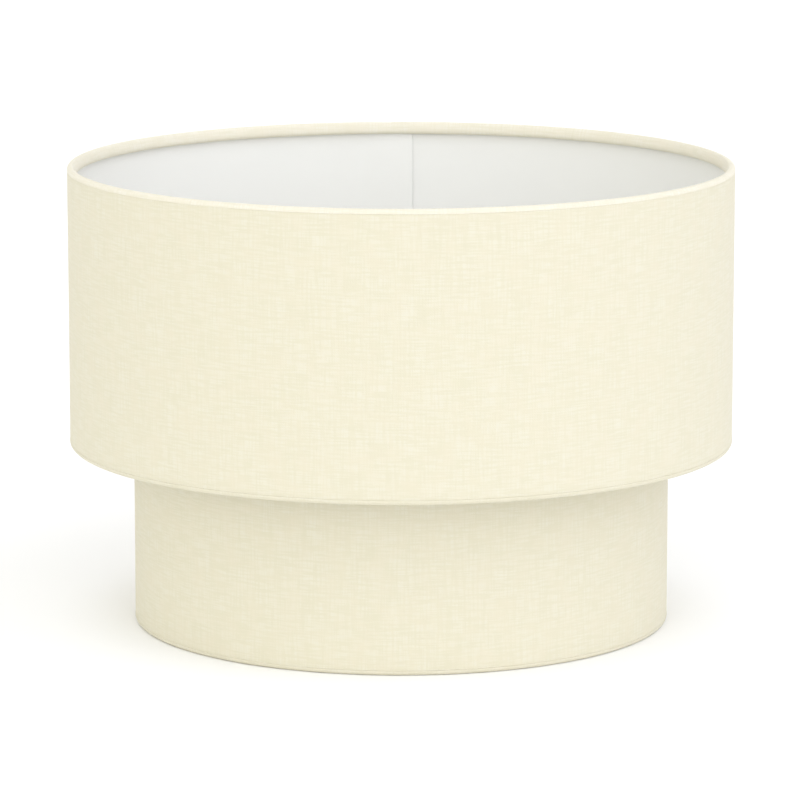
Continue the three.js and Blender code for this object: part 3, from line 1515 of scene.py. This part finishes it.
@dataclass(frozen=True)
class SoftLight:
    """A distant soft source, as wide as a window or a bounce card seen from the shade.

    Attributes:
        name: Its name.
        azimuth: Degrees to the right of the camera.
        elevation: Degrees above the level.
        spread: How wide it looks, in degrees.
        strength: Light that falls square on to a surface that faces it.
        colour: Linear red, green and blue.
    """

    name: str
    azimuth: float
    elevation: float
    spread: float
    strength: float
    colour: tuple[float, float, float] = (1.0, 1.0, 1.0)

    def build(self) -> None:
        """Hangs the light."""
        data = bpy.data.lights.new(self.name, "SUN")
        data.angle = math.radians(self.spread)
        data.energy = self.strength
        data.color = self.colour
        lamp = bpy.data.objects.new(self.name, data)
        bpy.context.scene.collection.objects.link(lamp)
        turn, rise = math.radians(self.azimuth), math.radians(self.elevation)
        towards = Vector(
            (math.sin(turn) * math.cos(rise), -math.cos(turn) * math.cos(rise), math.sin(rise))
        )
        lamp.rotation_euler = towards.to_track_quat("Z", "Y").to_euler()


@dataclass
class Studio:
    """Floor, light and camera.

    Attributes:
        aim: The point that the camera looks at.
        distance: From the camera to it.
        elevation: How far above the level the camera stands, in degrees.
        lens: The camera's focal length in millimetres.
        floor_radius: How far the floor reaches.
        walls: Strength of the light from the studio's walls.
        ceiling: Strength of the light from its ceiling.
        wall_top: Degrees above the level at which the walls meet the ceiling.
        lights: The lights.
    """

    aim: Vector
    distance: float = 2.916
    elevation: float = 10.36
    lens: float = 217.1
    floor_radius: float = 40.0
    walls: float = 1.0
    ceiling: float = 0.82
    wall_top: float = 20.0
    lights: tuple[SoftLight, ...] = (
        SoftLight("overhead_silk", 0, 80, 70, 0.42, (1.0, 1.0, 1.0)),
        SoftLight("key_window", 20, 50, 50, 0.47, (0.86, 0.91, 1.0)),
        SoftLight("front_card", 0, 6, 60, 0.86, (1.0, 1.0, 1.0)),
        SoftLight("left_card", -80, 10, 60, 0.25, (1.0, 0.95, 0.5)),
        SoftLight("right_window", 80, 15, 60, 0.46, (0.86, 0.87, 1.0)),
    )

    def build(self) -> None:
        """Builds the floor, the lights and the camera."""
        self._camera()
        self._floor()
        self._world()
        for light in self.lights:
            light.build()
        view = bpy.context.scene.view_settings
        view.view_transform = "Standard"
        view.look = "None"

    def _camera(self) -> None:
        """Sets the camera at the view's angle."""
        tilt = math.radians(self.elevation)
        back = Vector((0, -math.cos(tilt), math.sin(tilt)))
        data = bpy.data.cameras.new("camera")
        data.sensor_width = 36
        data.lens = self.lens
        data.clip_start, data.clip_end = 0.05, 200
        camera = bpy.data.objects.new("camera", data)
        bpy.context.scene.collection.objects.link(camera)
        camera.location = self.aim + back * self.distance
        camera.rotation_euler = (-back).to_track_quat("-Z", "Y").to_euler()
        bpy.context.scene.camera = camera

    def _floor(self) -> None:
        """Lays the floor."""
        sides = 96
        turns = [2 * math.pi * i / sides for i in range(sides)]
        rim = [on_circle(self.floor_radius, t) for t in turns]
        mesh = bpy.data.meshes.new("studio_floor")
        mesh.from_pydata(rim, [], [tuple(range(sides))])
        mesh.materials.append(StudioPaint().make())
        new_object("studio_floor", mesh)

    def _world(self) -> None:
        """Makes the even light from all round: bright white walls under a dimmer ceiling."""
        world = bpy.data.worlds.new("studio_air")
        world.use_nodes = True
        tree = world.node_tree
        tree.nodes.clear()
        way = add_node(tree, "ShaderNodeTexCoord").outputs["Generated"]
        rise = add_node(tree, "ShaderNodeSeparateXYZ", None, {0: way}).outputs["Z"]
        strength = add_node(
            tree,
            "ShaderNodeMapRange",
            {"interpolation_type": "SMOOTHSTEP"},
            {
                "Value": rise,
                "From Min": math.sin(math.radians(self.wall_top - 6)),
                "From Max": math.sin(math.radians(self.wall_top + 6)),
                "To Min": self.walls,
                "To Max": self.ceiling,
            },
        )
        sky = add_node(
            tree, "ShaderNodeBackground", None, {"Color": linear("FFFFFF"), "Strength": strength}
        )
        add_node(tree, "ShaderNodeOutputWorld", None, {"Surface": sky})
        bpy.context.scene.world = world


# ------------------------------------------------------------------------------------- main


def arm_angles() -> list[float]:
    """Directions of the spider's arms, from the middles of their CAD nodes."""
    angles = []
    for i in (1, 2, 3):
        low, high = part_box(f"spider_arm_{i}")
        middle = (low + high) / 2
        angles.append(math.atan2(middle.y, middle.x))
    return angles


def main() -> None:
    """Loads the frame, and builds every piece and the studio."""
    logging.basicConfig(level=logging.INFO, format="%(name)s %(message)s")
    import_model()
    # The second finish is the paler linen: painted light on the top rolled edges.
    finishes = Finishes(
        WovenLinen().make(), painted_light_rolled_linen().make(), StyreneSheet().make(), EpoxyCoat().make()
    )
    trees = ShapeTrees(ring_sweep_tree(), wire_tree(), weld_tree())
    arms = arm_angles()
    upper = Drum("upper", arms, Rim.BOTTOM, snip_reach=0.0, seed=3.0)
    lower = Drum("lower", arms, Rim.TOP, snip_reach=4 * MM, seed=11.0)
    aim = Vector((-0.66 * MM, 0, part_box("upper_bottom_edge")[0].z + 24.3 * MM))
    Studio(aim).build()
    for drum in (upper, lower):
        drum.build(trees, finishes)
    Spider(lower, upper).build(trees, finishes)


if __name__ == "__main__":
    main()
